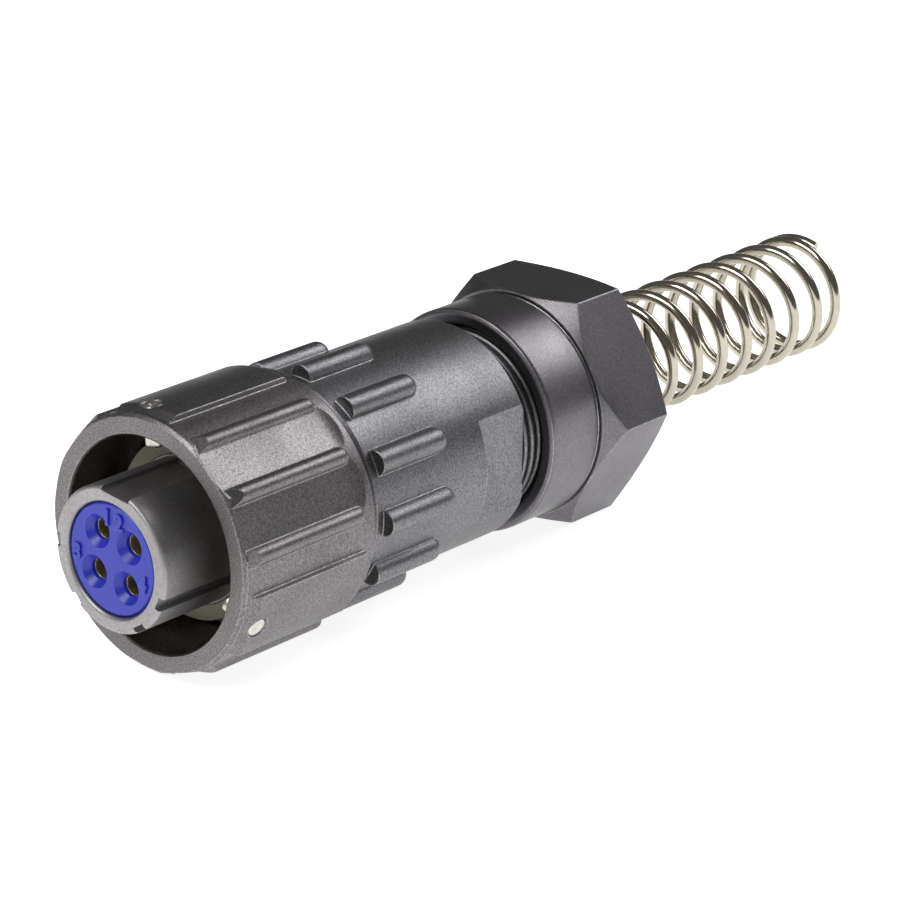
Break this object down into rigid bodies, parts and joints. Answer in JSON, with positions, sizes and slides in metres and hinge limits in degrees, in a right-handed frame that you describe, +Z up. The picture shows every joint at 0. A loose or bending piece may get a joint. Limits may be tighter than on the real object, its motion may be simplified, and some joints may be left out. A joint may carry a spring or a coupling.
{
  "type": "circular bayonet cable plug",
  "caption": "Metal circular cable plug with a keyed barrel, blue socket insert, ribbed three-pin bayonet ring, hexagonal gland nut and a wire strain-relief spring.",
  "frame": {"origin": "on the plug's axis, in the plane of the coupling ring's front rim", "axes": "+Y along the axis from the mating face to the cable end, +Z up, +X to the right seen from the mating face"},
  "size_m": [0.0254, 0.0989, 0.0243],
  "materials": {
    "cast_metal": "fine gun-metal lacquer with a metallic sparkle",
    "turned_metal": "dark gun-metal plating over turning marks",
    "blue_plastic": "satin moulded",
    "dark_plastic": "satin moulded",
    "contact_metal": "bright turned",
    "nickel": "bright nickel plate",
    "pale_rubber": "matte silicone",
    "black_rubber": "matte"
  },
  "bodies": {
    "root": {"plug_shell": "cast_metal", "front_insert": "blue_plastic", "rear_insert": "dark_plastic", "insert_o_ring": "black_rubber", "insert_retaining_ring": "contact_metal", "contact_1": "contact_metal", "contact_2": "contact_metal", "contact_3": "contact_metal", "contact_4": "contact_metal", "face_gasket": "pale_rubber", "body_o_ring": "black_rubber", "ring_circlip": "nickel", "wave_spring": "nickel", "rear_body": "cast_metal", "cable_grommet": "black_rubber"},
    "ring_carrier": {"thrust_washer": "nickel"},
    "ring": {"coupling_ring": "cast_metal", "bayonet_pin_1": "nickel", "bayonet_pin_2": "nickel", "bayonet_pin_3": "nickel"},
    "gland_carrier": {"gland_washer": "nickel", "strain_relief_spring": "nickel"},
    "nut": {"gland_nut": "turned_metal"}
  },
  "joints": [
    {"name": "ring_slide", "type": "slide", "parent": "root", "child": "ring_carrier", "axis": [0, -1, 0], "range_m": [0, 0.0006], "stiffness_N_per_m": 6000, "springref_m": -0.0006, "deforming": ["wave_spring"]},
    {"name": "ring_turn", "type": "hinge", "parent": "ring_carrier", "child": "ring", "pos_m": [0, 0.0095, 0], "axis": [0, -1, 0], "continuous": true},
    {"name": "gland_slide", "type": "slide", "parent": "root", "child": "gland_carrier", "axis": [0, -1, 0], "range_m": [-0.003, 0.0023], "deforming": ["cable_grommet"]},
    {"name": "nut_turn", "type": "hinge", "parent": "gland_carrier", "child": "nut", "pos_m": [0, 0.048, 0], "axis": [0, -1, 0], "range_deg": [-1080, 828]}
  ],
  "couplings": [
    {"joint": "gland_slide", "follows": "nut_turn", "m_per_rad": 0.00015915}
  ]
}
